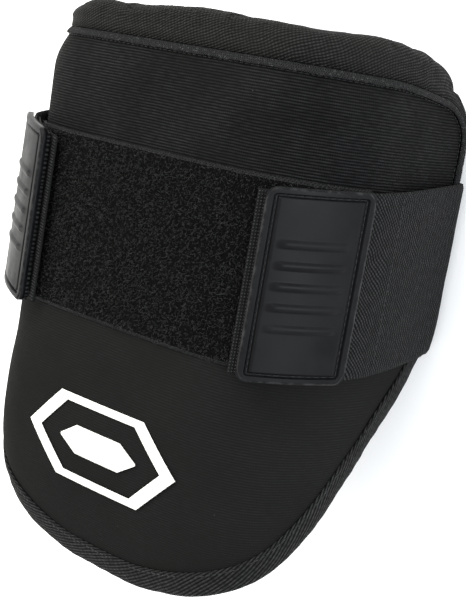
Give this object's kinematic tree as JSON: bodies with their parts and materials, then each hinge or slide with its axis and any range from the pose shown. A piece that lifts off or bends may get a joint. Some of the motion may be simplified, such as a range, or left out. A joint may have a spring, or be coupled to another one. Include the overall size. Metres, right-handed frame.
{
  "type": "baseball elbow guard",
  "caption": "Padded elbow guard with a rolled top edge, a taped lower cup edge, a loop panel and an elastic strap with two moulded tabs.",
  "frame": {"origin": "middle of the bounding box's footprint, on the surface that the strap's back span rests on", "axes": "+X across the guard to the wearer-facing viewer's right, +Y up the arm towards the rolled edge, +Z out of the front face"},
  "size_m": [0.1636, 0.2092, 0.0998],
  "materials": {
    "neoprene": "matt ribbed knit over neoprene",
    "foam_lining": "matt knit lining",
    "roll_knit": "matt ribbed knit, stuffed",
    "welt_tape": "soft satin folded tape",
    "twill_tape": "matt herringbone tape",
    "loop_pile": "matt napped loop pile",
    "elastic_webbing": "matt woven elastic",
    "hook_fastener": "matt with fine hooks",
    "moulded_rubber": "satin",
    "white_ink": "smooth printed film"
  },
  "bodies": {
    "root": {"face_shell": "neoprene", "liner_pad": "foam_lining", "top_roll": "roll_knit", "top_welt": "welt_tape", "edge_tape": "twill_tape", "loop_panel": "loop_pile", "strap": "elastic_webbing", "hook_pad_right": "hook_fastener", "tab_right": "moulded_rubber", "hook_pad_left": "hook_fastener", "tab_left": "moulded_rubber", "print_frame": "white_ink", "print_bar": "white_ink"}
  },
  "joints": []
}
